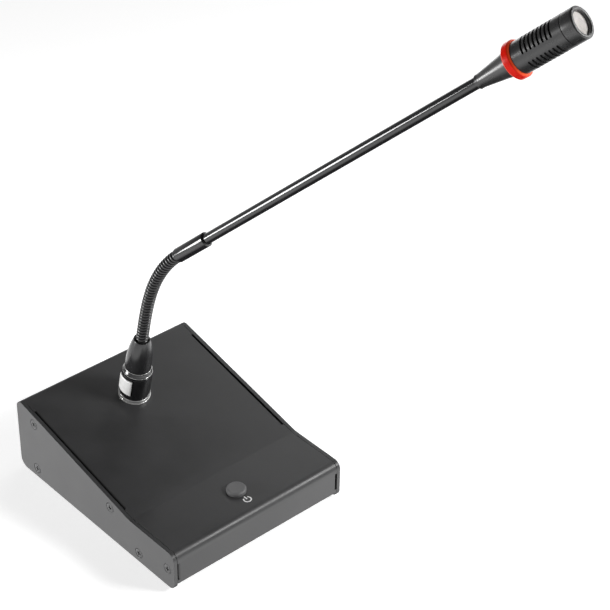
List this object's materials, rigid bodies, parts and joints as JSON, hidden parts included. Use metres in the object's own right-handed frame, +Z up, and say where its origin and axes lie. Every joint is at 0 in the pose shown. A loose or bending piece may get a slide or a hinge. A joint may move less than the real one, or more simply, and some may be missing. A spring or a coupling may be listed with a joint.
{
  "type": "gooseneck paging microphone",
  "caption": "Desktop paging microphone: sloped steel base with a talk button, plug-in gooseneck stem and slotted head with a red signal ring.",
  "frame": {"origin": "middle of the base's underside, the lower face of the bottom plate; the feet stand 1.5 mm below it", "axes": "-Y is the front of the base, +X is to the right as seen by the person who speaks, +Z is up"},
  "size_m": [0.1602, 0.2977, 0.3753],
  "materials": {
    "powder_coat": "fine-textured satin black powder coat on folded steel",
    "foot_rubber": "matte moulded rubber",
    "screw_steel": "black zinc-plated cross-head screws, worn in the recess",
    "zinc_steel": "bright zinc plating",
    "circuit_green": "green solder mask",
    "component_black": "moulded black plastic",
    "capacitor_sleeve": "dark blue sleeve",
    "button_plastic": "matte charcoal plastic",
    "nickel": "bright nickel plating",
    "latch_nickel": "satin nickel plating, bright and a little brushed",
    "contact_gold": "gold-plated brass",
    "black_metal": "semi-gloss black lacquer on metal",
    "boot_rubber": "satin black moulded boot",
    "gooseneck_black": "black wound steel wire",
    "cable_jacket": "dark cable jacket",
    "signal_red": "translucent red plastic, softly lit from inside",
    "led_board_white": "white solder mask",
    "head_metal": "satin dark grey lacquer on aluminium",
    "lining_black": "fine black acoustic cloth",
    "capsule_steel": "brushed capsule housing",
    "mesh_steel": "fine woven wire mesh"
  },
  "bodies": {
    "base": {"deck_cover": "powder_coat", "bottom_plate": "powder_coat", "cheek_left": "powder_coat", "cheek_right": "powder_coat", "feet": "foot_rubber", "cheek_screws_left": "screw_steel", "cheek_screws_right": "screw_steel", "clinch_nuts": "zinc_steel", "circuit_board": "circuit_green", "board_posts": "zinc_steel", "board_screws": "zinc_steel", "board_chips": "component_black", "board_capacitors": "capacitor_sleeve", "button_spring": "zinc_steel", "button_switch": "component_black", "line_jack_bushing": "nickel", "line_jack_body": "component_black", "line_jack_nut": "nickel", "dc_inlet": "component_black", "dc_pin": "nickel", "socket_shell": "black_metal", "socket_ring": "nickel", "socket_nut": "zinc_steel", "socket_insert": "component_black", "socket_contacts": "contact_gold"},
    "talk_button": {"button_cap": "button_plastic"},
    "latch": {"latch_tab": "latch_nickel"},
    "mic_plug": {"plug_shell": "black_metal", "plug_insert": "component_black", "plug_pins": "contact_gold", "plug_sleeve": "black_metal", "plug_rings": "nickel", "boot": "boot_rubber", "neck_root": "gooseneck_black"},
    "neck_1": {"neck_link_1": "gooseneck_black"},
    "neck_2": {"neck_link_2": "gooseneck_black"},
    "neck_3": {"neck_link_3": "gooseneck_black"},
    "neck_4": {"neck_link_4": "gooseneck_black"},
    "neck_5": {"neck_link_5": "gooseneck_black"},
    "neck_6": {"neck_link_6": "gooseneck_black"},
    "neck_7": {"neck_link_7": "gooseneck_black"},
    "stem": {"neck_tip": "gooseneck_black", "stem_sleeve": "black_metal", "stem_tube": "black_metal", "stem_cable": "cable_jacket", "head_cone": "black_metal", "led_ring": "signal_red", "led_board": "led_board_white", "head_barrel": "head_metal", "head_screen": "lining_black", "capsule": "capsule_steel", "capsule_mount": "component_black", "front_cap": "head_metal", "front_mesh": "mesh_steel"}
  },
  "joints": [
    {"name": "talk_button_press", "type": "slide", "parent": "base", "child": "talk_button", "axis": [0, 0, -1], "range_m": [0, 0.0015], "stiffness_N_per_m": 400, "springref_m": -0.002, "deforming": ["button_spring"]},
    {"name": "latch_press", "type": "slide", "parent": "base", "child": "latch", "axis": [1, 0, 0], "range_m": [0, 0.0007], "stiffness_N_per_m": 600, "springref_m": -0.001},
    {"name": "mic_unplug", "type": "slide", "parent": "base", "child": "mic_plug", "axis": [0, -0.2205, 0.9754], "range_m": [0, 0.022]},
    {"name": "neck_bend", "type": "hinge", "parent": "mic_plug", "child": "neck_1", "pos_m": [-0.00095, 0.02961, 0.09905], "axis": [0.8942, 0.4367, 0.0987], "range_deg": [-9, 12]},
    {"name": "neck_sway", "type": "hinge", "parent": "neck_1", "child": "neck_2", "pos_m": [-0.00092, 0.0274, 0.10858], "axis": [-0.4477, 0.8679, 0.215], "range_deg": [-10, 10]},
    {"name": "neck_bend_2", "type": "hinge", "parent": "neck_2", "child": "neck_3", "pos_m": [-0.00079, 0.02499, 0.11806], "axis": [0.8942, 0.4367, 0.0987], "range_deg": [-9, 12]},
    {"name": "neck_sway_2", "type": "hinge", "parent": "neck_3", "child": "neck_4", "pos_m": [-0.00047, 0.02221, 0.12743], "axis": [-0.4452, 0.8439, 0.2994], "range_deg": [-10, 10]},
    {"name": "neck_bend_3", "type": "hinge", "parent": "neck_4", "child": "neck_5", "pos_m": [0.00014, 0.0189, 0.13661], "axis": [0.8942, 0.4367, 0.0987], "range_deg": [-9, 12]},
    {"name": "neck_sway_3", "type": "hinge", "parent": "neck_5", "child": "neck_6", "pos_m": [0.00112, 0.01488, 0.14547], "axis": [-0.43, 0.7762, 0.4612], "range_deg": [-10, 10]},
    {"name": "neck_bend_4", "type": "hinge", "parent": "neck_6", "child": "neck_7", "pos_m": [0.00258, 0.01001, 0.15383], "axis": [0.8942, 0.4367, 0.0987], "range_deg": [-9, 12]},
    {"name": "neck_sway_4", "type": "hinge", "parent": "neck_7", "child": "stem", "pos_m": [0.00458, 0.0042, 0.16143], "axis": [-0.3803, 0.6244, 0.6822], "range_deg": [-10, 10]}
  ],
  "couplings": [
    {"joint": "neck_bend_2", "follows": "neck_bend", "ratio": 1},
    {"joint": "neck_sway_2", "follows": "neck_sway", "ratio": 1},
    {"joint": "neck_bend_3", "follows": "neck_bend", "ratio": 1},
    {"joint": "neck_sway_3", "follows": "neck_sway", "ratio": 1},
    {"joint": "neck_bend_4", "follows": "neck_bend", "ratio": 1},
    {"joint": "neck_sway_4", "follows": "neck_sway", "ratio": 1}
  ]
}
